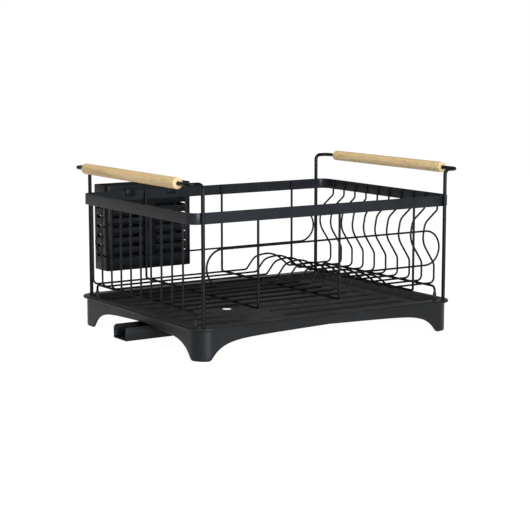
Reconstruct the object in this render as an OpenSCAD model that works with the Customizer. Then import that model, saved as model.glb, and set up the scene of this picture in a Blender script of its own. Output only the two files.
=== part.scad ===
// Dish drying rack: a wire basket with wood grips that stands on a moulded drip tray.
// The tray drains through a swivelling spout, and a utensil holder hangs behind the basket.
// X runs along the long side, Y from front to back and Z up from the counter, in millimetres.

/* [Basket rim] */
// Length of the rim band over its outer faces
rim_length = 410; // [400:1:430]
// Depth of the rim band over its outer faces
rim_depth = 298.6; // [290:0.1:310]
// Height of the flat band
band_height = 14.5; // [12:0.5:16]
// Thickness of the flat band
band_thickness = 1.6; // [1.2:0.1:2]
// Height of the band's top edge above the counter
rim_top = 184.1; // [182:0.1:190]
// Radius of the band's corners over its outer face
rim_corner_radius = 15; // [12:1:20]

/* [Plate wires] */
// Diameter of the plate wires
plate_wire_d = 2.7; // [2.2:0.1:2.8]
// Distance between neighbouring plate wires
plate_wire_pitch = 27.2; // [24:0.1:28]
// Height of the wires' centreline along the basket floor
floor_wire_z = 60.5; // [59:0.5:64]

/* [Cross wires and rails] */
// Diameter of the cross wires and foot wires
cross_wire_d = 3.3; // [2.6:0.1:3.4]
// Diameter of the front and back rail loops
rail_wire_d = 2.6; // [2:0.1:2.8]
// Height of a rail loop between centrelines
rail_height = 46.6; // [40:0.2:50]
// Height of the middle of the rail loops
rail_middle_z = 114.2; // [110:0.2:118]
// Half of the rail loops' length, to the wire's centreline
rail_reach = 184; // [176:1:185]

/* [Handles] */
// Diameter of the four handle posts
post_d = 5; // [4.4:0.1:5.2]
// Distance of a post's axis from the middle of the basket
post_x = 190.5; // [188:0.5:191]
// Height of the grips' axis
grip_z = 219.7; // [214:0.1:230]
// How far the grips stand outside the posts
grip_offset = 20.2; // [18:0.2:26]
// Diameter of the wood grips
grip_d = 14.5; // [13:0.5:18]
// Length of the wood grips
grip_length = 250; // [230:1:262]

/* [Drip tray] */
// Length of the tray over its lip
tray_length = 410; // [404:1:412]
// Depth of the tray over its lip
tray_depth = 329; // [322:1:330]
// Height of the tray's rim
tray_height = 42; // [42:0.5:43]
// Radius of the tray's corners
tray_corner_radius = 26; // [20:1:28]
// Diameter of the drain hole
drain_hole_d = 12; // [10:0.5:14]

/* [Drain spout] */
// Width of the spout over its walls
spout_width = 34; // [30:1:36]
// Length of the spout from its pivot to its mouth
spout_length = 184; // [170:1:200]
// Height of the spout's walls
spout_height = 18; // [16:0.5:18]
// Clearance between the pivot pin and the spout's bore, on the radius
pivot_clearance = 0.05; // [0.02:0.01:0.1]

/* [Utensil holder] */
// Width of the holder
holder_width = 136.8; // [120:0.2:140]
// Depth of the holder
holder_depth = 40.8; // [36:0.2:44]
// Height of the holder
holder_height = 120; // [110:1:124]
// Thickness of the holder's walls
holder_wall = 2; // [1.6:0.1:2.4]

/* [Hidden] */
$fn = 48;
// Depth by which welded wires sink into each other
weld = 0.03;
// Bends are this much thicker than the straights that lap into them
bend_swell = 0.02;
lap = 0.05;
// Cuts run this far past the faces that they open
past = 1;

wire_black = [0.05, 0.05, 0.06];
plastic_black = [0.11, 0.11, 0.115];
spout_black = [0.06, 0.06, 0.065];
wood_tan = [0.8, 0.66, 0.44];
pin_grey = [0.3, 0.3, 0.31];

// Rim and wires
rim_x = rim_length / 2;
rim_y = rim_depth / 2;
wire_top = rim_top - 1.5;
// A plate wire's hump in the floor and its bulge up the right side
hump_left_x = 46.5;
hump_left_peak = [61, 18];
hump_right_peak = [93, 23];
hump_right_x = 121;
bulge_start_z = 86.5;
bulge_low = [176.3, 119];
bulge_high = [181, 144.5];
bulge_end_z = 161.5;
plate_wire_count = 10;
plate_wire_x = rim_x - band_thickness - plate_wire_d / 2 + weld;
plate_wire_right_x = 197.7;
cross_wire_y = rim_y - band_thickness - cross_wire_d / 2 + weld;
cross_wire_z = floor_wire_z - plate_wire_d / 2 - cross_wire_d / 2 + weld;
cross_wire_spots = [-106.5, 19.5, 142.3];
cross_wire_bend = 4;
rail_y = cross_wire_y + cross_wire_d / 2 + rail_wire_d / 2 - weld;
rail_end_radius = rail_height / 2;
foot_wire_x = 191;
foot_wire_y = 133;
foot_wire_end = 40.6;
tip_bottom = 39.4;
tip_height = 9;
tip_d = 5;

// Handles
post_y = rim_y + post_d / 2 - weld;
grip_x = post_x + grip_offset;
// The left and right grips sit a little off the middle of their posts
grip_slip = [-1.6, 3];
post_bend = 7;
stub_length = 18;
grip_bore_length = stub_length + 0.3;
grip_clearance = 0.05;
grip_edge = 1.5;

// Tray
tray_x = tray_length / 2;
tray_y = tray_depth / 2;
// The tray's middle lies a little off the basket's
tray_offset = [-3, -1.5];
lip_reach = 5.2;
lip_thickness = 3;
skirt_x = tray_x - lip_reach;
skirt_y = tray_y - lip_reach;
skirt_wall = 2.4;
floor_top = 35;
floor_thickness = 3;
floor_bottom = floor_top - floor_thickness;
basin_mouth_x = tray_x - 6;
basin_mouth_y = tray_y - 18;
basin_floor_x = tray_x - 27;
basin_floor_y = tray_y - 25;
basin_corner = 16;
groove_count = 7;
groove_pitch = 33.6;
groove_width = 9;
groove_depth = 1.8;
groove_end_x = 162;
groove_start_x = -170;
channel_x = -71;
channel_width = 66;
drain_y = -13;
dish_d = 44;
dish_depth = 1.2;
foot_x = 177.6;
foot_y = 130.6;
arch_steep_rise = 23.5;
arch_gentle_rise = 5.5;
arch_steep_run = 15;
arch_steps = 24;
// The arches' middle lies a little off the tray's
arch_offset = [-3.6, -7.6, 0];
pad_d = 9;

// Spout and its pivot
pivot_x = -50;
pivot_y = -12.5;
spout_bottom = 8.8;
spout_wall = 2;
mouth_radius = 4.5;
hub_d = 14;
pin_d = 6;
pin_head_d = 12;
pin_head_height = 2;
pivot_gap = 0.3;
boss_bottom = spout_bottom + spout_height + pivot_gap;
pin_top = floor_bottom - 0.5;

// Utensil holder
holder_x = -97.3;
holder_front_y = 151.2;
holder_bottom = 71;
holder_corner = 6;
slot_height = 4;
slot_pitch = 13.6;
slot_rows = 6;
slot_bottom_z = 92.2;
front_slot_length = 50;
side_slot_length = 22;
mullion = 17.6;
hook_spread = 33;
hook_width = 14;
hook_thickness = 2;
hook_bottom = 175.5;
floor_slot_length = 44;
floor_slot_pitch = 9;
divider_drop = 3;

// The origin is on the counter, at the middle of the whole rack's outline seen from above
left_end = pivot_x - spout_length;
right_end = grip_x + grip_d / 2;
back_end = holder_front_y + holder_depth;
front_end = tray_offset[1] - tray_y;
origin_shift = [-(left_end + right_end) / 2, -(front_end + back_end) / 2, 0];

// ---- Bent wire: straights joined by bends of a given radius ----

function unit(v) = v / norm(v);
function heading(path, i) = unit(path[i + 1] - path[i]);
function turn(path, i) = acos(heading(path, i - 1) * heading(path, i));
// Length of straight that a bend at corner i takes up on each side
function setback(path, bends, i) =
    i == 0 || i == len(path) - 1 ? 0 : bends[i] * tan(turn(path, i) / 2);
// Any direction across v
function across(v) = unit(cross(v, abs(v[2]) < 0.9 ? [0, 0, 1] : [1, 0, 0]));

// Places children with their X along x_dir, Y along y_dir and origin at place
module frame_at(place, x_dir, y_dir) {
    z_dir = cross(x_dir, y_dir);
    multmatrix([
        [x_dir[0], y_dir[0], z_dir[0], place[0]],
        [x_dir[1], y_dir[1], z_dir[1], place[1]],
        [x_dir[2], y_dir[2], z_dir[2], place[2]]
    ])
        children();
}

module wire_straight(path, bends, i, d) {
    dir = heading(path, i);
    last = i == len(path) - 2;
    from = path[i] + dir * (setback(path, bends, i) - (i == 0 ? 0 : lap));
    to = path[i + 1] - dir * (setback(path, bends, i + 1) - (last ? 0 : lap));
    side = across(dir);
    frame_at(from, side, cross(dir, side))
        cylinder(h = norm(to - from), d = d);
}

module wire_bend(path, bends, i, d) {
    dir = heading(path, i - 1);
    next = heading(path, i);
    inward = unit(next - dir * (dir * next));
    centre = path[i] - dir * setback(path, bends, i) + inward * bends[i];
    frame_at(centre, -inward, dir)
        rotate_extrude(angle = turn(path, i))
            translate([bends[i], 0])
                circle(d = d + bend_swell);
}

// bends[i] is the bend radius at path[i]; the first and last are unused
module bent_wire(path, bends, d) {
    for (i = [0:len(path) - 2])
        wire_straight(path, bends, i, d);
    for (i = [1:len(path) - 2])
        wire_bend(path, bends, i, d);
}

// ---- Plain shapes ----

// Moves a piece from the basket's own centre to the rack's origin
module placed() {
    translate(origin_shift)
        children();
}

module rounded_rect(half_x, half_y, radius) {
    for (sx = [-1, 1])
        for (sy = [-1, 1])
            translate([sx * (half_x - radius), sy * (half_y - radius)])
                circle(r = radius);
    square([2 * (half_x - radius), 2 * half_y], center = true);
    square([2 * half_x, 2 * (half_y - radius)], center = true);
}

module rounded_block(half_x, half_y, radius, bottom, top) {
    translate([0, 0, bottom])
        linear_extrude(height = top - bottom)
            rounded_rect(half_x, half_y, radius);
}

// A slot with round ends that runs along X from x0 to x1
module round_slot(x0, x1, width) {
    translate([x0 + width / 2, -width / 2])
        square([x1 - x0 - width, width]);
    for (x = [x0 + width / 2, x1 - width / 2])
        translate([x, 0])
            circle(d = width);
}

// ---- Drip tray ----

// Height of the skirt's lower edge at a distance past the foot, over half a side
function arch_height(past_foot, span) =
    arch_steep_rise * (1 - exp(-past_foot / arch_steep_run))
    + arch_gentle_rise * pow(past_foot / span, 0.8);

function arch_points(span) = [
    for (i = [0:2 * arch_steps])
        let (t = (i - arch_steps) / arch_steps, s = sign(t) * (1 - pow(1 - abs(t), 2)))
        [s * span, arch_height(span * (1 - abs(s)), span)]
];

// The open space under one side of the skirt, as an outline across that side
module arch_outline(span) {
    polygon(concat(arch_points(span), [[span, -past], [-span, -past]]));
}

module skirt_arches() {
    translate(arch_offset) {
        rotate([90, 0, 0])
            linear_extrude(height = 2 * tray_depth, center = true)
                arch_outline(foot_x);
        rotate([90, 0, 90])
            linear_extrude(height = 2 * tray_length, center = true)
                arch_outline(foot_y);
    }
}

// Sides of the basin slope in from the rim to the floor
module basin_prism(mouth, base, reach) {
    slope = (mouth - base) / (tray_height - floor_top);
    top = mouth + past * slope;
    linear_extrude(height = 2 * reach, center = true)
        polygon([
            [-base, floor_top], [base, floor_top],
            [top, tray_height + past], [-top, tray_height + past]
        ]);
}

module basin() {
    intersection() {
        rotate([90, 0, 0])
            basin_prism(basin_mouth_x, basin_floor_x, tray_depth);
        rotate([90, 0, 90])
            basin_prism(basin_mouth_y, basin_floor_y, tray_length);
        rounded_block(basin_mouth_x, basin_mouth_y, basin_corner, floor_top - past, tray_height + 2 * past);
    }
}

// Grooves along the floor. In front of the drain they stop short of its flat channel.
module floor_grooves() {
    middle = (groove_count - 1) / 2;
    channel_left = channel_x - channel_width / 2;
    channel_right = channel_x + channel_width / 2;
    translate([0, 0, floor_top - groove_depth])
        linear_extrude(height = groove_depth + past)
            for (i = [0:groove_count - 1])
                translate([0, (i - middle) * groove_pitch])
                    if (i >= middle) {
                        round_slot(groove_start_x, groove_end_x, groove_width);
                    } else {
                        round_slot(groove_start_x, channel_left, groove_width);
                        round_slot(channel_right, groove_end_x, groove_width);
                    }
}

// The basket's four legs stand on flat pads that are let into the basin's sloping sides
module at_foot_wire_ends(z) {
    for (sx = [-1, 1])
        for (sy = [-1, 1])
            translate([sx * foot_wire_x, sy * foot_wire_y, z])
                children();
}

// The tray's moulding about its own middle, before its floor is grooved and drained
module tray_shell() {
    difference() {
        rounded_block(skirt_x, skirt_y, tray_corner_radius - lip_reach, 0, tray_height);
        skirt_arches();
        rounded_block(
            skirt_x - skirt_wall, skirt_y - skirt_wall,
            tray_corner_radius - lip_reach - skirt_wall, -past, floor_bottom
        );
        basin();
    }
    difference() {
        rounded_block(tray_x, tray_y, tray_corner_radius, tray_height - lip_thickness, tray_height);
        rounded_block(skirt_x - past, skirt_y - past, tray_corner_radius - lip_reach - past, 0, 2 * tray_height);
    }
}

module drip_tray() {
    color(plastic_black)
        difference() {
            union() {
                translate(tray_offset)
                    tray_shell();
                at_foot_wire_ends(floor_bottom + past)
                    cylinder(h = tip_bottom - floor_bottom - past, d = pad_d);
                translate([pivot_x, pivot_y, boss_bottom])
                    cylinder(h = floor_bottom + past - boss_bottom, d = hub_d);
            }
            floor_grooves();
            translate([channel_x, drain_y, floor_top - dish_depth])
                cylinder(h = past + dish_depth, d = dish_d);
            translate([channel_x, drain_y, floor_bottom - past])
                cylinder(h = floor_thickness + 2 * past, d = drain_hole_d);
            translate([pivot_x, pivot_y, boss_bottom - past])
                cylinder(h = pin_top - boss_bottom + past, d = pin_d);
            at_foot_wire_ends(tip_bottom)
                cylinder(h = tray_height, d = pad_d);
        }
}

// ---- Drain spout and its pivot ----

// An open channel with a closed round end about the pivot
module spout_outline(inset) {
    width = spout_width - 2 * inset;
    circle(d = width);
    translate([-spout_length - (inset > 0 ? past : 0), -width / 2])
        square([spout_length + (inset > 0 ? past : 0), width]);
}

// Rounds off the walls' top corners at the mouth
module mouth_corners() {
    translate([-spout_length, 0, spout_height])
        rotate([90, 0, 0])
            linear_extrude(height = 2 * spout_width, center = true)
                difference() {
                    translate([-past, -mouth_radius])
                        square(mouth_radius + past);
                    translate([mouth_radius, -mouth_radius])
                        circle(r = mouth_radius);
                }
}

module drain_spout() {
    color(spout_black)
        translate([pivot_x, pivot_y, spout_bottom])
            difference() {
                union() {
                    difference() {
                        linear_extrude(height = spout_height)
                            spout_outline(0);
                        translate([0, 0, spout_wall])
                            linear_extrude(height = spout_height)
                                spout_outline(spout_wall);
                    }
                    cylinder(h = spout_height, d = hub_d);
                }
                mouth_corners();
                translate([0, 0, -past])
                    cylinder(h = spout_height + 2 * past, d = pin_d + 2 * pivot_clearance);
            }
}

module spout_pivot_pin() {
    color(pin_grey)
        translate([pivot_x, pivot_y, 0]) {
            translate([0, 0, spout_bottom - pivot_gap - pin_head_height])
                cylinder(h = pin_head_height, d = pin_head_d);
            translate([0, 0, spout_bottom - pivot_gap - lap])
                cylinder(h = pin_top - spout_bottom + pivot_gap + lap, d = pin_d);
        }
}

// ---- Basket ----

module rim_band() {
    color(wire_black)
        difference() {
            rounded_block(rim_x, rim_y, rim_corner_radius, rim_top - band_height, rim_top);
            rounded_block(
                rim_x - band_thickness, rim_y - band_thickness,
                rim_corner_radius - band_thickness, 0, rim_top + past
            );
        }
}

// One wire hangs from the left side of the band, crosses the floor with a hump that
// parts the plates, and climbs the right side through an inward bulge.
function plate_wire_path(y) = [
    [-plate_wire_x, y, wire_top],
    [-plate_wire_x, y, floor_wire_z],
    [hump_left_x, y, floor_wire_z],
    [hump_left_peak[0], y, floor_wire_z + hump_left_peak[1]],
    [hump_right_peak[0], y, floor_wire_z + hump_right_peak[1]],
    [hump_right_x, y, floor_wire_z],
    [plate_wire_right_x, y, floor_wire_z],
    [plate_wire_right_x, y, bulge_start_z],
    [bulge_low[0], y, bulge_low[1]],
    [bulge_high[0], y, bulge_high[1]],
    [plate_wire_x, y, bulge_end_z],
    [plate_wire_x, y, wire_top]
];
plate_wire_bends = [0, 7, 6, 18, 40, 6, 7, 12, 28, 16, 6, 0];

module plate_wire(number) {
    y = (number - (plate_wire_count + 1) / 2) * plate_wire_pitch;
    color(wire_black)
        bent_wire(plate_wire_path(y), plate_wire_bends, plate_wire_d);
}

module cross_wire(x) {
    color(wire_black)
        bent_wire(
            [
                [x, -cross_wire_y, wire_top],
                [x, -cross_wire_y, cross_wire_z],
                [x, cross_wire_y, cross_wire_z],
                [x, cross_wire_y, wire_top]
            ],
            [0, cross_wire_bend, cross_wire_bend, 0], cross_wire_d
        );
}

// A closed racetrack loop. side is -1 at the front and 1 at the back.
module rail_loop(side) {
    end_x = rail_reach - rail_end_radius;
    color(wire_black)
        translate([0, side * rail_y, rail_middle_z])
            rotate([90, 0, 0]) {
                for (sy = [-1, 1])
                    translate([-end_x - lap, sy * rail_end_radius, 0])
                        rotate([0, 90, 0])
                            cylinder(h = 2 * (end_x + lap), d = rail_wire_d);
                for (sx = [-1, 1])
                    translate([sx * end_x, 0, 0])
                        rotate([0, 0, -90 * sx])
                            rotate_extrude(angle = 180)
                                translate([rail_end_radius, 0])
                                    circle(d = rail_wire_d + bend_swell);
            }
}

module foot_wire(side) {
    x = side * foot_wire_x;
    color(wire_black)
        bent_wire(
            [
                [x, -foot_wire_y, foot_wire_end],
                [x, -foot_wire_y, cross_wire_z],
                [x, foot_wire_y, cross_wire_z],
                [x, foot_wire_y, foot_wire_end]
            ],
            [0, 6, 6, 0], cross_wire_d
        );
}

module foot_wire_tips() {
    color(plastic_black)
        at_foot_wire_ends(tip_bottom)
            difference() {
                cylinder(h = tip_height, d = tip_d);
                translate([0, 0, foot_wire_end - tip_bottom])
                    cylinder(h = tip_height, d = cross_wire_d);
            }
}

function grip_middle(side) = grip_slip[(side + 1) / 2];

// A post stands on the tray's rim, bends outwards and ends in the wood grip
module handle_post(side_x, side_y) {
    post_end_y = grip_middle(side_x) + side_y * (grip_length / 2 - stub_length);
    color(wire_black)
        bent_wire(
            [
                [side_x * post_x, side_y * post_y, tray_height],
                [side_x * post_x, side_y * post_y, grip_z],
                [side_x * grip_x, side_y * post_y, grip_z],
                [side_x * grip_x, post_end_y, grip_z]
            ],
            [0, post_bend, post_bend, 0], post_d
        );
}

module wood_grip(side) {
    color(wood_tan)
        translate([side * grip_x, grip_middle(side), grip_z])
            rotate([90, 0, 0])
                difference() {
                    union() {
                        cylinder(h = grip_length - 2 * grip_edge, d = grip_d, center = true);
                        for (end = [-1, 1])
                            translate([0, 0, end * (grip_length - grip_edge) / 2])
                                cylinder(
                                    h = grip_edge, center = true,
                                    d1 = grip_d - (1 - end) * grip_edge / 2,
                                    d2 = grip_d - (1 + end) * grip_edge / 2
                                );
                    }
                    for (end = [-1, 1])
                        translate([0, 0, end * (grip_length - grip_bore_length + past) / 2])
                            cylinder(
                                h = grip_bore_length + past, center = true,
                                d = post_d + bend_swell + 2 * grip_clearance
                            );
                }
}

// ---- Utensil holder ----

module slot_row(length) {
    for (i = [0:slot_rows - 1])
        translate([0, slot_bottom_z + i * slot_pitch])
            round_slot(-length / 2, length / 2, slot_height);
}

module holder_slots() {
    slot_middle = (front_slot_length + mullion) / 2;
    for (side = [-1, 1])
        translate([holder_x + side * slot_middle, holder_front_y + holder_depth / 2, 0])
            rotate([90, 0, 0])
                linear_extrude(height = 2 * holder_depth, center = true)
                    slot_row(front_slot_length);
    translate([holder_x, holder_front_y + holder_depth / 2, 0])
        rotate([90, 0, 90])
            linear_extrude(height = 2 * holder_width, center = true)
                slot_row(side_slot_length);
}

module holder_floor_slots() {
    for (side = [-1, 1])
        for (i = [-1:1])
            translate([
                holder_x + side * holder_width / 4,
                holder_front_y + holder_depth / 2 + i * floor_slot_pitch,
                holder_bottom - past
            ])
                linear_extrude(height = holder_wall + 2 * past)
                    round_slot(-floor_slot_length / 2, floor_slot_length / 2, slot_height);
}

// Two hooks reach over the band from the holder's front wall
module holder_hooks() {
    inner_y = rim_y - band_thickness - hook_thickness - pivot_gap;
    for (side = [-1, 1])
        translate([holder_x + side * hook_spread - hook_width / 2, inner_y, 0]) {
            translate([0, 0, rim_top])
                cube([hook_width, holder_front_y + past - inner_y, hook_thickness]);
            translate([0, 0, hook_bottom])
                cube([hook_width, hook_thickness, rim_top + hook_thickness - hook_bottom]);
        }
}

module utensil_holder() {
    half_x = holder_width / 2;
    half_y = holder_depth / 2;
    top = holder_bottom + holder_height;
    sunk = holder_wall / 2;
    color(spout_black)
        union() {
            difference() {
                translate([holder_x, holder_front_y + half_y, 0])
                    difference() {
                        rounded_block(half_x, half_y, holder_corner, holder_bottom, top);
                        rounded_block(
                            half_x - holder_wall, half_y - holder_wall,
                            holder_corner - holder_wall, holder_bottom + holder_wall, top + past
                        );
                    }
                holder_slots();
                holder_floor_slots();
            }
            translate([holder_x - holder_wall / 2, holder_front_y + sunk, holder_bottom + sunk])
                cube([holder_wall, holder_depth - 2 * sunk, holder_height - sunk - divider_drop]);
            holder_hooks();
        }
}

placed() drip_tray();
placed() drain_spout();
placed() spout_pivot_pin();
placed() rim_band();
placed() handle_post(-1, -1);  // handle_post_front_left
placed() handle_post(-1, 1);  // handle_post_back_left
placed() handle_post(1, -1);  // handle_post_front_right
placed() handle_post(1, 1);  // handle_post_back_right
placed() wood_grip(-1);  // wood_grip_left
placed() wood_grip(1);  // wood_grip_right
placed() plate_wire(1);  // plate_wire_1
placed() plate_wire(2);  // plate_wire_2
placed() plate_wire(3);  // plate_wire_3
placed() plate_wire(4);  // plate_wire_4
placed() plate_wire(5);  // plate_wire_5
placed() plate_wire(6);  // plate_wire_6
placed() plate_wire(7);  // plate_wire_7
placed() plate_wire(8);  // plate_wire_8
placed() plate_wire(9);  // plate_wire_9
placed() plate_wire(10);  // plate_wire_10
placed() cross_wire(cross_wire_spots[0]);  // cross_wire_left
placed() cross_wire(cross_wire_spots[1]);  // cross_wire_middle
placed() cross_wire(cross_wire_spots[2]);  // cross_wire_right
placed() rail_loop(-1);  // front_rail_loop
placed() rail_loop(1);  // back_rail_loop
placed() foot_wire(-1);  // foot_wire_left
placed() foot_wire(1);  // foot_wire_right
placed() foot_wire_tips();
placed() utensil_holder();
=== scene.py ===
import math

import bmesh
import bpy
import numpy as np
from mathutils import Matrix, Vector


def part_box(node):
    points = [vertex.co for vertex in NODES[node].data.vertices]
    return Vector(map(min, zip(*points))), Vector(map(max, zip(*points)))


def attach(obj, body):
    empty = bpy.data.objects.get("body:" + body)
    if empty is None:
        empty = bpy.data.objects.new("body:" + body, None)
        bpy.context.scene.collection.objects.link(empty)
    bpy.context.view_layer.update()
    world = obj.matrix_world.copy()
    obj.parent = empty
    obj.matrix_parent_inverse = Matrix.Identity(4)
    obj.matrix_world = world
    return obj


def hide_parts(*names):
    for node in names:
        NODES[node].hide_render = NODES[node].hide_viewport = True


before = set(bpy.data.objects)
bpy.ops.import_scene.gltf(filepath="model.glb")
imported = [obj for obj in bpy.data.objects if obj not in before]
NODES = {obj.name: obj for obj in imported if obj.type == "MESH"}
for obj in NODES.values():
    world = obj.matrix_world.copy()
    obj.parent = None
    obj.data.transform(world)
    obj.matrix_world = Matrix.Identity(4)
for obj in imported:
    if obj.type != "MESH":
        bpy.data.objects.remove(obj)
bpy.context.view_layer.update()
MM = 0.001

# Every shape below is in millimetres about the middle of the basket's rim, on the counter
rim_lo, rim_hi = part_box("rim_band")
MID = Vector(((rim_lo.x + rim_hi.x) / 2, (rim_lo.y + rim_hi.y) / 2, 0))


def local_box(node):
    lo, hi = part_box(node)
    return (lo - MID) / MM, (hi - MID) / MM


# ---- Camera, lights and floor ----

CAMERA_AT = MID + Vector((-1157.32, -1769.95, 400.9)) * MM
CAMERA_YAW = 33.161
CAMERA_DOWN = 8.474
CAMERA_LENS = 105.486
HORIZON, CEILING_FROM = 0.03, 0.16
SWEEP_STRENGTH, CEILING_STRENGTH = 1.0, 0.3
LIGHTS_AIM_Z = 0.1

cam_data = bpy.data.cameras.new("camera")
cam_data.sensor_width = 36
cam_data.lens = CAMERA_LENS
cam_data.clip_start = 0.05
cam_data.clip_end = 200
cam = bpy.data.objects.new("camera", cam_data)
cam.location = CAMERA_AT
cam.rotation_euler = (math.radians(90 - CAMERA_DOWN), 0, math.radians(-CAMERA_YAW))
bpy.context.scene.collection.objects.link(cam)
bpy.context.scene.camera = cam
bpy.context.scene.view_settings.view_transform = "Standard"
bpy.context.scene.view_settings.look = "None"


def make_world():
    """A white sweep up to just above the horizon, with a dim studio ceiling over it."""
    world = bpy.data.worlds.new("studio")
    world.use_nodes = True
    tree = world.node_tree
    coords = tree.nodes.new("ShaderNodeTexCoord")
    split = tree.nodes.new("ShaderNodeSeparateXYZ")
    tree.links.new(coords.outputs["Generated"], split.inputs["Vector"])
    fade = tree.nodes.new("ShaderNodeMapRange")
    fade.interpolation_type = "SMOOTHSTEP"
    fade.inputs["From Min"].default_value = HORIZON
    fade.inputs["From Max"].default_value = CEILING_FROM
    fade.inputs["To Min"].default_value = SWEEP_STRENGTH
    fade.inputs["To Max"].default_value = CEILING_STRENGTH
    tree.links.new(split.outputs["Z"], fade.inputs["Value"])
    tree.links.new(fade.outputs["Result"], tree.nodes["Background"].inputs["Strength"])
    tree.nodes["Background"].inputs["Color"].default_value = (1, 1, 1, 1)
    bpy.context.scene.world = world


def softbox(name, azimuth, elevation, distance, width, height, watts, color):
    """An area light aimed at the rack. Azimuth 0 is in front, 90 on the left. Sizes are in metres."""
    a, e = math.radians(azimuth), math.radians(elevation)
    centre = Vector((MID.x, MID.y, LIGHTS_AIM_Z))
    away = Vector((-math.sin(a) * math.cos(e), -math.cos(a) * math.cos(e), math.sin(e)))
    data = bpy.data.lights.new(name, "AREA")
    data.shape = "RECTANGLE"
    data.size, data.size_y = width, height
    data.energy = watts
    data.color = color
    light = bpy.data.objects.new(name, data)
    light.location = centre + away * distance
    light.rotation_mode = "QUATERNION"
    light.rotation_quaternion = away.to_track_quat("Z", "Y")
    bpy.context.scene.collection.objects.link(light)


make_world()
softbox("key", 11, 10, 2.3, 1.7, 1.2, 80, (0.78, 0.88, 1.0))
softbox("strip", 11, 5, 2.3, 0.4, 1.0, 60, (0.70, 0.84, 1.0))
softbox("top", 75, 68, 2.2, 0.8, 0.8, 36, (1.0, 0.98, 0.95))


# ---- Materials ----

def material(name, base, roughness, specular):
    mat = bpy.data.materials.new(name)
    mat.use_nodes = True
    bsdf = mat.node_tree.nodes["Principled BSDF"]
    bsdf.inputs["Base Color"].default_value = (*base, 1)
    bsdf.inputs["Roughness"].default_value = roughness
    bsdf.inputs["Specular IOR Level"].default_value = specular
    return mat, mat.node_tree, bsdf


def object_coords(tree, scale=(1, 1, 1)):
    coords = tree.nodes.new("ShaderNodeTexCoord")
    mapping = tree.nodes.new("ShaderNodeMapping")
    mapping.inputs["Scale"].default_value = scale
    tree.links.new(coords.outputs["Object"], mapping.inputs["Vector"])
    return mapping.outputs["Vector"]


def noise(tree, vector, scale, detail=3, roughness=0.5, distortion=0.0):
    node = tree.nodes.new("ShaderNodeTexNoise")
    node.inputs["Scale"].default_value = scale
    node.inputs["Detail"].default_value = detail
    node.inputs["Roughness"].default_value = roughness
    node.inputs["Distortion"].default_value = distortion
    tree.links.new(vector, node.inputs["Vector"])
    return node.outputs["Fac"]


def ramp(tree, factor, stops):
    node = tree.nodes.new("ShaderNodeValToRGB")
    while len(node.color_ramp.elements) < len(stops):
        node.color_ramp.elements.new(0.5)
    for element, (position, color) in zip(node.color_ramp.elements, stops):
        element.position = position
        element.color = (*color, 1)
    tree.links.new(factor, node.inputs["Fac"])
    return node.outputs["Color"]


def spread(tree, factor, low, high):
    """Maps 0.3 to 0.7, where a noise mostly lies, onto low to high."""
    node = tree.nodes.new("ShaderNodeMapRange")
    node.inputs["From Min"].default_value = 0.3
    node.inputs["From Max"].default_value = 0.7
    node.inputs["To Min"].default_value = low
    node.inputs["To Max"].default_value = high
    tree.links.new(factor, node.inputs["Value"])
    return node.outputs["Result"]


def bump(tree, bsdf, height, strength, distance):
    node = tree.nodes.new("ShaderNodeBump")
    node.inputs["Strength"].default_value = strength
    node.inputs["Distance"].default_value = distance
    tree.links.new(height, node.inputs["Height"])
    tree.links.new(node.outputs["Normal"], bsdf.inputs["Normal"])


def multiply(tree, under, over, amount):
    """Darkens one colour by another, by that amount."""
    mix = tree.nodes.new("ShaderNodeMix")
    mix.data_type = "RGBA"
    mix.blend_type = "MULTIPLY"
    mix.inputs["Factor"].default_value = amount
    tree.links.new(under, mix.inputs[6])
    tree.links.new(over, mix.inputs[7])
    return mix.outputs[2]


def coated_metal(name, dark, light, specular):
    """Black powder coat: satin, with a fine orange peel."""
    mat, tree, bsdf = material(name, dark, 0.34, specular)
    at = object_coords(tree)
    cloudy = noise(tree, at, 45, 3)
    tree.links.new(ramp(tree, cloudy, [(0.3, dark), (0.7, light)]), bsdf.inputs["Base Color"])
    tree.links.new(spread(tree, noise(tree, at, 130, 2), 0.28, 0.38), bsdf.inputs["Roughness"])
    bump(tree, bsdf, noise(tree, at, 900, 2), 0.12, 0.0003)
    return mat


def moulded(name, dark, light, rough_low, rough_high, specular, grain=1500, depth=0.25):
    """Moulded plastic: a fine even grain, with faint clouds and a few rubbed patches."""
    mat, tree, bsdf = material(name, dark, rough_high, specular)
    at = object_coords(tree)
    clouds = ramp(tree, noise(tree, at, 16, 4, 0.6), [(0.3, dark), (0.7, light)])
    tree.links.new(clouds, bsdf.inputs["Base Color"])
    patches = spread(tree, noise(tree, at, 38, 4, 0.6), rough_low, rough_high)
    tree.links.new(patches, bsdf.inputs["Roughness"])
    bump(tree, bsdf, noise(tree, at, grain, 2, 0.6), depth, 0.0002)
    return mat


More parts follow.
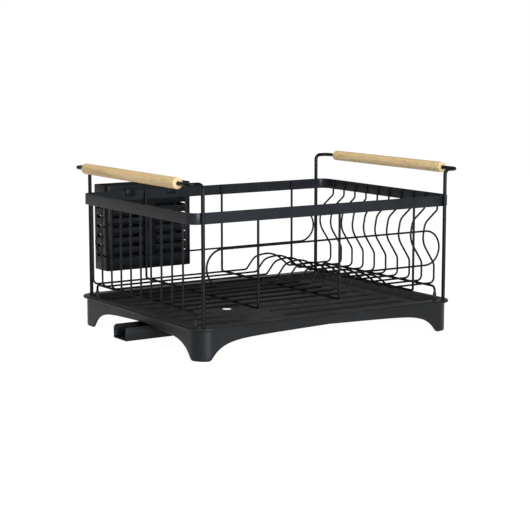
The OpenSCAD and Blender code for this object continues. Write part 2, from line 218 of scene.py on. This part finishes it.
def beech():
    """Pale beech, oiled: fibres along Y, broad growth bands and short dark flecks."""
    mat, tree, bsdf = material("grip_wood", (0.6, 0.42, 0.2), 0.5, 0.3)
    along = object_coords(tree, (1, 0.06, 1))
    fine = object_coords(tree, (1, 0.035, 1))
    short = object_coords(tree, (1, 0.16, 1))
    bands = ramp(tree, noise(tree, along, 110, 4, 0.6, 0.6), [
        (0.30, (0.36, 0.235, 0.105)), (0.47, (0.47, 0.335, 0.165)), (0.72, (0.55, 0.415, 0.225))])
    fibres = ramp(tree, noise(tree, fine, 1500, 3, 0.65), [(0.3, (0.80, 0.76, 0.70)), (0.62, (1, 1, 1))])
    flecks = ramp(tree, noise(tree, short, 900, 1, 0.4), [(0.60, (1, 1, 1)), (0.70, (0.62, 0.50, 0.38))])
    fibrous = multiply(tree, bands, fibres, 0.75)
    tree.links.new(multiply(tree, fibrous, flecks, 0.65), bsdf.inputs["Base Color"])
    tree.links.new(spread(tree, noise(tree, fine, 700, 3), 0.42, 0.6), bsdf.inputs["Roughness"])
    bump(tree, bsdf, noise(tree, fine, 1500, 3, 0.65), 0.3, 0.0003)
    return mat


def end_grain():
    """Cut ends of the grips: growth rings and open pores."""
    mat, tree, bsdf = material("grip_end_grain", (0.62, 0.45, 0.22), 0.62, 0.25)
    flat = object_coords(tree, (1, 0.02, 1))
    rings = tree.nodes.new("ShaderNodeTexWave")
    rings.wave_type = "RINGS"
    rings.rings_direction = "Y"
    rings.inputs["Scale"].default_value = 260
    rings.inputs["Distortion"].default_value = 2.2
    rings.inputs["Detail"].default_value = 2
    tree.links.new(flat, rings.inputs["Vector"])
    ringed = ramp(tree, rings.outputs["Fac"], [(0.1, (0.36, 0.25, 0.12)), (0.9, (0.50, 0.375, 0.20))])
    pores = ramp(tree, noise(tree, flat, 2600, 2), [(0.36, (0.55, 0.47, 0.38)), (0.5, (1, 1, 1))])
    tree.links.new(multiply(tree, ringed, pores, 0.7), bsdf.inputs["Base Color"])
    return mat


def floor_finish():
    mat, _, bsdf = material("pale_floor", (0.10, 0.10, 0.10), 0.9, 0.0)
    bsdf.inputs["Emission Color"].default_value = (1, 1, 1, 1)
    bsdf.inputs["Emission Strength"].default_value = 0.97
    return mat


# Each finish has its darkest and lightest colour. A moulded one has its roughness from low to high as well.
BLACK = coated_metal("black_coat", (0.0012, 0.0013, 0.0015), (0.0022, 0.0023, 0.0026), 0.11)
STRIP_BLACK = coated_metal("strip_coat", (0.0066, 0.0069, 0.0076), (0.0098, 0.0102, 0.0112), 0.11)
TRAY = moulded("tray_plastic", (0.0040, 0.0040, 0.0040), (0.0058, 0.0057, 0.0055), 0.34, 0.44, 0.16)
BASIN = moulded("basin_plastic", (0.0045, 0.0045, 0.0045), (0.0065, 0.0064, 0.0063), 0.42, 0.54, 0.14)
# The tray's black plastic made darker, so the inside of the channel comes out black: partly the spout's own
# colour, partly painted shade.
SPOUT = moulded(
    "spout_plastic", (0.0009, 0.0009, 0.0010), (0.0018, 0.0018, 0.0020), 0.34, 0.44, 0.16, 1800, 0.12)
HOLDER = moulded(
    "holder_plastic", (0.0009, 0.0009, 0.0010), (0.0018, 0.0018, 0.0019), 0.34, 0.46, 0.13, 1600, 0.16)
PIN = moulded("pin_plastic", (0.05, 0.05, 0.052), (0.075, 0.075, 0.078), 0.40, 0.5, 0.45)
RUBBER = moulded(
    "black_rubber", (0.010, 0.010, 0.010), (0.016, 0.016, 0.016), 0.65, 0.8, 0.3, 2200, 0.3)
WOOD = beech()
WOOD_END = end_grain()

bpy.ops.mesh.primitive_plane_add(size=60, location=(0, 0, -0.0002))
floor = bpy.context.object
floor.name = "floor"
floor.data.materials.append(floor_finish())


# ---- Mesh tools ----

def add_object(name, bm, mats, sharp=None):
    """Makes an object from a bmesh in local millimetres. Edges over the sharp angle shade sharp."""
    for v in bm.verts:
        v.co = MID + v.co * MM
    mesh = bpy.data.meshes.new(name)
    bmesh.ops.recalc_face_normals(bm, faces=bm.faces)
    bm.to_mesh(mesh)
    bm.free()
    for mat in mats:
        mesh.materials.append(mat)
    mesh.polygons.foreach_set("use_smooth", [True] * len(mesh.polygons))
    if sharp is not None:
        mesh.set_sharp_from_angle(angle=math.radians(sharp))
    obj = bpy.data.objects.new(name, mesh)
    bpy.context.scene.collection.objects.link(obj)
    return obj


def bridge(bm, rows, mat_index=0):
    """Joins closed rows of vertices of the same length with quads."""
    for low, high in zip(rows, rows[1:]):
        n = len(low)
        for i in range(n):
            j = (i + 1) % n
            bm.faces.new((low[i], low[j], high[j], high[i])).material_index = mat_index


def apply_modifiers(obj):
    graph = bpy.context.evaluated_depsgraph_get()
    mesh = bpy.data.meshes.new_from_object(obj.evaluated_get(graph))
    obj.modifiers.clear()
    old = obj.data
    obj.data = mesh
    bpy.data.meshes.remove(old)


def cut(obj, cutter):
    modifier = obj.modifiers.new("cut", "BOOLEAN")
    modifier.operation = "DIFFERENCE"
    modifier.solver = "EXACT"
    modifier.object = cutter
    apply_modifiers(obj)
    bpy.data.objects.remove(cutter)


def round_edges(obj, width, segments=2, angle=40):
    """Rounds every edge over that angle, by that many millimetres."""
    modifier = obj.modifiers.new("round", "BEVEL")
    modifier.width = width * MM
    modifier.segments = segments
    modifier.limit_method = "ANGLE"
    modifier.angle_limit = math.radians(angle)
    modifier.use_clamp_overlap = True
    modifier.harden_normals = False
    apply_modifiers(obj)
    obj.data.polygons.foreach_set("use_smooth", [True] * len(obj.data.polygons))
    obj.data.set_sharp_from_angle(angle=math.radians(30))


SLOT_HEIGHT = 4


def prism(bm, outline, to_point, low, high):
    """A closed prism. to_point(u, v, w) places outline point (u, v) at depth w."""
    rows = [[bm.verts.new(to_point(u, v, w)) for u, v in outline] for w in (low, high)]
    bridge(bm, rows)
    bm.faces.new(rows[0])
    bm.faces.new(rows[1])


def round_slot_outline(u0, u1, v, height=SLOT_HEIGHT, steps=8):
    r = height / 2
    points = []
    for centre, start in ((u1 - r, -90), (u0 + r, 90)):
        for k in range(steps + 1):
            a = math.radians(start + 180 * k / steps)
            points.append((centre + r * math.cos(a), v + r * math.sin(a)))
    return points


def rounded_rect(half_x, half_y, radius, steps=8):
    points = []
    for sx, sy, start in ((1, -1, -90), (1, 1, 0), (-1, 1, 90), (-1, -1, 180)):
        for k in range(steps + 1):
            a = math.radians(start + 90 * k / steps)
            points.append((
                sx * (half_x - radius) + radius * math.cos(a),
                sy * (half_y - radius) + radius * math.sin(a)))
    return points


# ---- Drip tray ----

TRAY_LO, TRAY_HI = local_box("drip_tray")
TRAY_MID = (TRAY_LO + TRAY_HI) / 2
TRAY_X, TRAY_Y, TRAY_H = TRAY_HI.x - TRAY_MID.x, TRAY_HI.y - TRAY_MID.y, TRAY_HI.z
LIP_R = 26.0
LIP_REACH = 5.2
LIP_THICK = 3.0
SKIRT_X, SKIRT_Y, SKIRT_R = TRAY_X - LIP_REACH, TRAY_Y - LIP_REACH, LIP_R - LIP_REACH
SKIRT_WALL = 2.4
BASIN_DEPTH, FLOOR_THICK = 7, 3
FLOOR_Z = TRAY_H - BASIN_DEPTH
FLOOR_UNDER = FLOOR_Z - FLOOR_THICK
MOUTH_X, MOUTH_Y, MOUTH_R = TRAY_X - 6, TRAY_Y - 18, 16.0
FLOOR_X, FLOOR_Y, FLOOR_R = TRAY_X - 27, TRAY_Y - 25, 8.0
FOOT_X, FOOT_Y = 177.6, 130.6
ARCH_X, ARCH_Y = -3.6, -7.6
GROOVE_PITCH, GROOVE_HALF, GROOVE_DEPTH = 33.6, 4.5, 1.8
GROOVE_X0, GROOVE_X1 = -170.0, 162.0
CHANNEL = (-104.0, -38.0)
DRAIN = (-71.0, -13.0)
DISH_R, DISH_EASE, DISH_DEPTH = 22.0, 7.0, 1.2
DRAIN_R, FUNNEL_REACH, FUNNEL_DEPTH = 6.0, 3.5, 0.5
PIVOT = (-50.0, -12.5)


def smoothstep(a, b, x):
    t = np.clip((x - a) / (b - a), 0, 1)
    return t * t * (3 - 2 * t)


# The skirt's edge rises steeply beside a foot and gently after that, as in the CAD
ARCH_STEEP_RISE, ARCH_STEEP_RUN = 23.5, 15
ARCH_GENTLE_RISE, ARCH_GENTLE_POWER = 5.5, 0.8
# Height that the rounding of the foot's bottom corner adds, by the distance past the foot
FOOT_CORNER = (
    (-4.5, 0), (-3.2, 0.12), (-2, 0.5), (-0.8, 1.2), (0, 1.8), (0.9, 1.55),
    (2, 1.25), (3.4, 1.0), (6.9, 0.7), (10, 0.5), (15, 0.3), (25, 0))


def arch_height(past_foot, span):
    """Height of the skirt's edge past a foot, with the foot's bottom corner rounded off."""
    s = np.maximum(past_foot, 0)
    steep = ARCH_STEEP_RISE * (1 - np.exp(-s / ARCH_STEEP_RUN))
    gentle = ARCH_GENTLE_RISE * (s / span) ** ARCH_GENTLE_POWER
    return steep + gentle + np.interp(past_foot, *zip(*FOOT_CORNER))


def skirt_bottom(x, y):
    over_x = float(arch_height(FOOT_X - abs(x - ARCH_X), FOOT_X))
    over_y = float(arch_height(FOOT_Y - abs(y - ARCH_Y), FOOT_Y))
    return max(over_x, over_y)


def grooves():
    """The start, end and Y of each groove. The front three stop at the channel to the drain."""
    for i in range(-3, 4):
        if i >= 0:
            yield GROOVE_X0, GROOVE_X1, i * GROOVE_PITCH
        else:
            yield GROOVE_X0, CHANNEL[0], i * GROOVE_PITCH
            yield CHANNEL[1], GROOVE_X1, i * GROOVE_PITCH


def floor_drop(x, y):
    """How far the floor lies below its general level at each point."""
    drop = np.zeros_like(x)
    for x0, x1, yc in grooves():
        nearest = np.clip(x, x0 + GROOVE_HALF, x1 - GROOVE_HALF)
        inside = GROOVE_HALF - np.hypot(x - nearest, y - yc)
        drop = np.maximum(drop, GROOVE_DEPTH * smoothstep(-0.25, 1.15, inside))
    to_drain = np.hypot(x - DRAIN[0], y - DRAIN[1])
    dish = DISH_DEPTH * smoothstep(DISH_R, DISH_R - DISH_EASE, to_drain)
    funnel = FUNNEL_DEPTH * smoothstep(DRAIN_R + FUNNEL_REACH, DRAIN_R - 0.2, to_drain)
    return np.maximum(drop, dish) + funnel


def floor_lines():
    """Grid lines about the tray's middle: close together where the floor changes, and at the corners."""
    xs = set(np.round(np.linspace(TRAY_MID.x - FLOOR_X, TRAY_MID.x + FLOOR_X, 85), 3))
    for end, inward in ((GROOVE_X0, 1), (GROOVE_X1, -1), (CHANNEL[0], -1), (CHANNEL[1], 1)):
        for d in (-0.6, -0.1, 0.3, 0.7, 1.2, 2.0, 3.2, 4.5):
            xs.add(round(end + inward * d, 3))
    for k in range(20):
        for side in (-1, 1):
            xs.add(round(TRAY_MID.x + side * (FLOOR_X - FLOOR_R - 1.5 * k), 3))
    for d in (0, 2.5, 5, 6.6, 7.5, 8.5, 10, 13, 16, 19, 22):
        xs.add(round(DRAIN[0] + d, 3))
        xs.add(round(DRAIN[0] - d, 3))
    ys = set()
    for i in range(-3, 4):
        for d in (-5.2, -4.6, -4.1, -3.6, -3.1, -1.6, 0, 1.6, 3.1, 3.6, 4.1, 4.6, 5.2):
            ys.add(round(i * GROOVE_PITCH + d, 3))
        for d in (-16.8, -13.5, -10.5, -7.8, 7.8, 10.5, 13.5, 16.8):
            ys.add(round(i * GROOVE_PITCH + d, 3))
    for k in range(22):
        for side in (-1, 1):
            ys.add(round(TRAY_MID.y + side * (FLOOR_Y - FLOOR_R - 1.5 * k), 3))
    for d in (-8.5, -7.5, -6.6, -2.5, 0, 2.5, 6.6, 7.5, 8.5):
        ys.add(round(DRAIN[1] + d, 3))

    def thin(values, middle, limit):
        kept = []
        for v in sorted([v - middle for v in values] + [-limit, limit]):
            if abs(v) > limit + 1e-6:
                continue
            if kept and v - kept[-1] < 0.25:
                if abs(v - limit) < 1e-6 and len(kept) > 1:
                    kept[-1] = v
                continue
            kept.append(v)
        return kept

    corner = [k / 10 for k in range(1, 11)]
    xs, ys = thin(xs, TRAY_MID.x, FLOOR_X - FLOOR_R), thin(ys, TRAY_MID.y, FLOOR_Y - FLOOR_R)
    x_lines = [(-1, c) for c in reversed(corner)] + [(0, v) for v in xs] + [(1, c) for c in corner]
    y_lines = [(-1, c) for c in reversed(corner)] + [(0, v) for v in ys] + [(1, c) for c in corner]
    return x_lines, y_lines


def build_tray():
    x_lines, y_lines = floor_lines()
    nx, ny = len(x_lines), len(y_lines)
    cx, cy = FLOOR_X - FLOOR_R, FLOOR_Y - FLOOR_R
    plan = np.zeros((nx, ny, 2))
    for i, (sx, a) in enumerate(x_lines):
        for j, (sy, b) in enumerate(y_lines):
            if sx and sy:
                x = sx * (cx + FLOOR_R * a * math.sqrt(1 - b * b / 2))
                y = sy * (cy + FLOOR_R * b * math.sqrt(1 - a * a / 2))
            else:
                x = sx * (cx + FLOOR_R * a) if sx else a
                y = sy * (cy + FLOOR_R * b) if sy else b
            plan[i, j] = x, y
    heights = FLOOR_Z - floor_drop(plan[:, :, 0] + TRAY_MID.x, plan[:, :, 1] + TRAY_MID.y)

    # The grid's edge, in order, as pairs of grid numbers
    edge = [(i, 0) for i in range(nx)] + [(nx - 1, j) for j in range(1, ny)]
    edge += [(i, ny - 1) for i in range(nx - 2, -1, -1)] + [(0, j) for j in range(ny - 2, 0, -1)]

    def around(half_x, half_y, radius, z):
        """A rounded rectangle with a point for each point of the edge. z is a height or a function."""
        points = []
        for i, j in edge:
            x, y = plan[i, j]
            dx = (abs(x) - cx) / FLOOR_R if abs(x) > cx else 0
            dy = (abs(y) - cy) / FLOOR_R if abs(y) > cy else 0
            sx, sy = (1 if x > 0 else -1), (1 if y > 0 else -1)
            if dx and dy:
                px, py = sx * (half_x - radius + radius * dx), sy * (half_y - radius + radius * dy)
            elif i in (0, nx - 1) and abs(y) <= cy:
                px, py = sx * half_x, y * (half_y - radius) / cy
            else:
                px, py = x * (half_x - radius) / cx, sy * half_y
            points.append((px, py, z(px, py) if callable(z) else z))
        return points

    bm = bmesh.new()
    grid = [[bm.verts.new((*plan[i, j], heights[i, j])) for j in range(ny)] for i in range(nx)]
    for i in range(nx - 1):
        for j in range(ny - 1):
            face = bm.faces.new((grid[i][j], grid[i + 1][j], grid[i + 1][j + 1], grid[i][j + 1]))
            face.material_index = 1
    first = [grid[i][j] for i, j in edge]

    def basin_loop(t, z, out=0.0):
        """A loop on the basin's side: t is 0 at the floor's edge and 1 at the mouth."""
        return around(
            FLOOR_X + t * (MOUTH_X - FLOOR_X) + out, FLOOR_Y + t * (MOUTH_Y - FLOOR_Y) + out,
            FLOOR_R + t * (MOUTH_R - FLOOR_R) + out, z)

    rise = TRAY_H - FLOOR_Z
    loops = [
        basin_loop(0.06, FLOOR_Z + 0.03), basin_loop(0.12, FLOOR_Z + 0.25),
        basin_loop(0.2, FLOOR_Z + 0.2 * rise), basin_loop(0.5, FLOOR_Z + 0.5 * rise),
        basin_loop(0.84, FLOOR_Z + 0.84 * rise),
        basin_loop(0.93, TRAY_H - 0.28), basin_loop(1, TRAY_H - 0.06), basin_loop(1, TRAY_H, 0.9)]
    basin_loops = len(loops)

    def lip(inset, z):
        return around(TRAY_X - inset, TRAY_Y - inset, LIP_R - inset, z)

    def skirt(inset, z):
        return around(SKIRT_X - inset, SKIRT_Y - inset, SKIRT_R - inset, z)

    loops += [
        lip(1.1, TRAY_H), lip(0.6, TRAY_H - 0.12), lip(0.2, TRAY_H - 0.45), lip(0, TRAY_H - 1.0),
        lip(0, TRAY_H - LIP_THICK + 0.9), lip(0.2, TRAY_H - LIP_THICK + 0.4),
        lip(0.6, TRAY_H - LIP_THICK + 0.1), lip(1.1, TRAY_H - LIP_THICK),
        lip(2.3, TRAY_H - LIP_THICK), lip(2.8, TRAY_H - LIP_THICK - 0.1), lip(3.1, TRAY_H - LIP_THICK - 0.5)]
    top = TRAY_H - LIP_THICK - 1.2
    for k in range(9):
        loops.append(skirt(0, lambda x, y, k=k: top + (skirt_bottom(x, y) + 0.9 - top) * k / 8))
    for inset, up in ((0.12, 0.45), (0.45, 0.12), (0.9, 0), (1.5, 0), (1.95, 0.12), (2.28, 0.45)):
        loops.append(skirt(inset, lambda x, y, up=up: skirt_bottom(x, y) + up))
    under = FLOOR_UNDER
    for k in range(5):
        loops.append(skirt(SKIRT_WALL, lambda x, y, k=k: (
            skirt_bottom(x, y) * (1 - k / 4) + 0.9 + (under - 1.5) * k / 4)))
    loops += [skirt(SKIRT_WALL + 0.4, under - 0.12), skirt(SKIRT_WALL + 1.2, under)]
    rows = [first] + [[bm.verts.new(p) for p in loop] for loop in loops]
    bridge(bm, rows[:basin_loops + 1], mat_index=1)
    bridge(bm, rows[basin_loops:])
    bm.faces.new(rows[-1])
    bmesh.ops.translate(bm, verts=bm.verts, vec=(TRAY_MID.x, TRAY_MID.y, 0))
    tray = add_object("tray_shell", bm, [TRAY, BASIN])
    dish_z = FLOOR_Z - DISH_DEPTH
    cut(tray, turned("hole", [], [
        (DRAIN_R + 9.0, under - 0.6), (DRAIN_R + 0.1, dish_z - 0.75),
        (DRAIN_R + 0.1, dish_z - 0.45), (DRAIN_R + 1.5, FLOOR_Z + 3)],
        (*DRAIN, 0), steps=48))
    tray.data.polygons.foreach_set("use_smooth", [True] * len(tray.data.polygons))
    tray.data.set_sharp_from_angle(angle=math.radians(38))
    return tray


def turned(name, mats, profile, axis_at, direction="Z", steps=32, mat_index=None):
    """A turned piece: profile is [(radius, distance along the axis)], closed at both ends."""
    bm = bmesh.new()
    rows = []
    for r, w in profile:
        row = []
        for k in range(steps):
            a = math.tau * k / steps
            c, s = r * math.cos(a), r * math.sin(a)
            if direction == "Z":
                row.append((axis_at[0] + c, axis_at[1] + s, axis_at[2] + w))
            else:
                row.append((axis_at[0] + c, axis_at[1] + w, axis_at[2] + s))
        rows.append([bm.verts.new(p) for p in row])
    for n, (low, high) in enumerate(zip(rows, rows[1:])):
        for k in range(steps):
            j = (k + 1) % steps
            face = bm.faces.new((low[k], low[j], high[j], high[k]))
            if mat_index:
                face.material_index = mat_index[n]
    bm.faces.new(rows[0])
    bm.faces.new(rows[-1])
    return add_object(name, bm, mats, sharp=38)


tray = build_tray()
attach(tray, "tray")
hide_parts("drip_tray")

TIP_R = 2.5
TIPS_LO, TIPS_HI = local_box("foot_wire_tips")
SPOUT_LO, SPOUT_HI = local_box("drain_spout")
boss = turned("pivot_boss", [TRAY], [
    (4.0, SPOUT_HI.z + 0.3), (6.5, SPOUT_HI.z + 0.3), (7.0, SPOUT_HI.z + 0.8),
    (7.0, FLOOR_UNDER - 1.0), (7.8, FLOOR_UNDER + 0.3)],
    (*PIVOT, 0))
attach(boss, "tray")


def foot_pads():
    """Raised flat pads, let into the basin's sides, that the basket's legs stand on."""
    x, y = TIPS_HI.x - TIP_R, TIPS_HI.y - TIP_R
    for sx, side in ((-1, "left"), (1, "right")):
        for sy, end in ((-1, "front"), (1, "back")):
            pad = turned(f"leg_pad_{side}_{end}", [TRAY], [
                (4.9, FLOOR_Z - 0.5), (4.8, TIPS_LO.z - 0.5), (4.4, TIPS_LO.z - 0.08), (4.1, TIPS_LO.z)],
                (sx * x, sy * y, 0))
            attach(pad, "tray")


foot_pads()


# ---- Rim band ----

def build_band():
    lo, hi = local_box("rim_band")
    radius, thick, edge = 15.0, 1.6, 0.45
    bm = bmesh.new()
    profile = []
    for inset, z, start in (
            (edge, hi.z - edge, 180), (thick - edge, hi.z - edge, 90),
            (thick - edge, lo.z + edge, 0), (edge, lo.z + edge, -90)):
        for k in range(4):
            a = math.radians(start - 90 * k / 3)
            profile.append((inset + edge * math.cos(a), z + edge * math.sin(a)))
    rows = []
    for inset, z in profile:
        outline = rounded_rect(hi.x - inset, hi.y - inset, radius - inset, 14)
        rows.append([bm.verts.new((x, y, z)) for x, y in outline])
    bridge(bm, rows + [rows[0]])
    band = add_object("rim_strip", bm, [STRIP_BLACK], sharp=50)
    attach(band, "basket")
    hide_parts("rim_band")


build_band()


# ---- Wood grips ----

GRIP_BORE_R, GRIP_BORE_DEPTH, GRIP_EDGE = 2.56, 18.3, 1.7


def build_grip(side):
    node = f"wood_grip_{side}"
    lo, hi = local_box(node)
    x, z = (lo.x + hi.x) / 2, (lo.z + hi.z) / 2
    radius, bore, depth, edge = (hi.z - lo.z) / 2, GRIP_BORE_R, GRIP_BORE_DEPTH, GRIP_EDGE
    half = []
    for k in range(6):
        a = math.radians(90 * k / 5)
        half.append((radius - edge + edge * math.cos(a), hi.y - edge + edge * math.sin(a)))
    half += [(bore + 0.25, hi.y), (bore, hi.y - 0.3), (bore, hi.y - depth), (0.02, hi.y - depth)]
    middle = [(radius, y) for y in np.linspace(lo.y + 12, hi.y - 12, 12)]
    profile = [(r, lo.y + hi.y - y) for r, y in reversed(half)] + middle + half
    index = []
    for n in range(len(profile) - 1):
        from_end = min(n, len(profile) - 2 - n)
        index.append(1 if from_end < len(half) - 3 else 0)
    grip = turned(f"beech_grip_{side}", [WOOD, WOOD_END], profile, (x, 0, z), "Y", 48, index)
    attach(grip, f"{side}_grip")
    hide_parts(node)


build_grip("left")
build_grip("right")


# ---- Drain spout ----

MOUTH_CORNER_R = 4.5


def build_spout():
    lo, hi = SPOUT_LO, SPOUT_HI
    width, wall = hi.y - lo.y, 2.0
    cx, cy = PIVOT

    def outline(inset, mouth):
        r = width / 2 - inset
        points = [(mouth, -r), (0, -r)]
        for k in range(1, 20):
            a = math.radians(-90 + 180 * k / 20)
            points.append((r * math.cos(a), r * math.sin(a)))
        return points + [(0, r), (mouth, r)]

    bm = bmesh.new()
    prism(bm, outline(0, lo.x - cx), lambda u, v, w: (cx + u, cy + v, w), lo.z, hi.z)
    spout = add_object("spout_channel", bm, [SPOUT])
    inner = bmesh.new()
    prism(inner, outline(wall, lo.x - cx - 5), lambda u, v, w: (cx + u, cy + v, w), lo.z + wall, hi.z + 5)
    cut(spout, add_object("inner", inner, []))
    corners = bmesh.new()
    r = MOUTH_CORNER_R
    arc = []
    for k in range(9):
        a = math.tau * k / 32
        arc.append((lo.x + r - r * math.sin(a), hi.z - r + r * math.cos(a)))
    prism(corners, arc + [(lo.x - 3, hi.z - r), (lo.x - 3, hi.z + 3), (lo.x + r, hi.z + 3)],
          lambda u, v, w: (u, w, v), cy - width, cy + width)
    cut(spout, add_object("corners", corners, []))
    round_edges(spout, 0.8, 3)
    hub = turned("spout_hub", [SPOUT], [
        (3.05, lo.z + 0.01), (6.9, lo.z + 0.01), (7.0, hi.z - 0.6),
        (6.4, hi.z), (3.4, hi.z), (3.05, hi.z - 0.4)],
        (cx, cy, 0))
    for piece in (spout, hub):
        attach(piece, "spout")
    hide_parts("drain_spout")


build_spout()


# ---- Utensil holder ----

HOLDER_TOP, HOLDER_DEPTH, HOLDER_WALL, HOLDER_CORNER = 191.0, 40.8, 2.0, 6.0
FIRST_SLOT_Z, SLOT_STEP = 92.2, 13.6
HOOK_X, HOOK_HALF, HOOK_TIP_Z = 33, 7, 175.5


def build_holder():
    lo, hi = local_box("utensil_holder")
    wall, corner, depth = HOLDER_WALL, HOLDER_CORNER, HOLDER_DEPTH
    top, bottom = HOLDER_TOP, lo.z
    half_x = (hi.x - lo.x) / 2
    cx, cy, half_y = (lo.x + hi.x) / 2, hi.y - depth / 2, depth / 2
    bm = bmesh.new()
    outer = rounded_rect(half_x, half_y, corner, 8)
    inner = rounded_rect(half_x - wall, half_y - wall, corner - wall, 8)

    def place(u, v, w):
        return cx + u, cy + v, w

    prism(bm, outer, place, bottom, top)
    holder = add_object("holder_shell", bm, [HOLDER])
    room = bmesh.new()
    prism(room, inner, place, bottom + wall, top + 5)
    cut(holder, add_object("room", room, []))
    slots = bmesh.new()
    for row in range(6):
        z = FIRST_SLOT_Z + row * SLOT_STEP
        for side in (-1, 1):
            middle = side * 33.8
            prism(slots, round_slot_outline(middle - 25, middle + 25, z),
                  lambda u, v, w: (cx + u, w, v), cy - half_y - 3, cy + half_y + 3)
            prism(slots, round_slot_outline(cy - 11, cy + 11, z),
                  lambda u, v, w: (w, u, v), cx + side * (half_x - 6), cx + side * (half_x + 3))
    for side in (-1, 1):
        for k in (-1, 0, 1):
            middle = cx + side * half_x / 2
            prism(slots, round_slot_outline(middle - 22, middle + 22, cy + 9 * k),
                  lambda u, v, w: (u, v, w), bottom - 3, bottom + wall + 3)
    cut(holder, add_object("slots", slots, []))
    round_edges(holder, 0.45)

    parts = bmesh.new()
    sheet = [(-1, 1 - half_y), (1, 1 - half_y), (1, half_y - 1), (-1, half_y - 1)]
    prism(parts, sheet, place, bottom + 1, top - 3)
    divider = add_object("holder_divider", parts, [HOLDER])
    round_edges(divider, 0.4)
    pieces = [holder, divider]
    rim_top = local_box("rim_band")[1].z
    front = cy - half_y
    for side, name in ((-1, "left"), (1, "right")):
        hook = bmesh.new()
        x = cx + side * HOOK_X
        y0 = lo.y
        profile = [
            (front + 1.2, rim_top), (y0 + 2, rim_top), (y0 + 2, HOOK_TIP_Z),
            (y0, HOOK_TIP_Z), (y0, rim_top + 2), (front + 1.2, rim_top + 2)]
        prism(hook, profile, lambda u, v, w: (w, u, v), x - HOOK_HALF, x + HOOK_HALF)
        hook = add_object(f"holder_hook_{name}", hook, [HOLDER])
        round_edges(hook, 0.5)
        pieces.append(hook)
    for piece in pieces:
        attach(piece, "holder")
    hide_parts("utensil_holder")


build_holder()


# ---- CAD nodes that keep their shape ----

for name, node in NODES.items():
    mat = RUBBER if name == "foot_wire_tips" else PIN if name == "spout_pivot_pin" else BLACK
    for slot in node.material_slots:
        slot.material = mat
    if not node.material_slots:
        node.data.materials.append(mat)

bpy.context.view_layer.update()
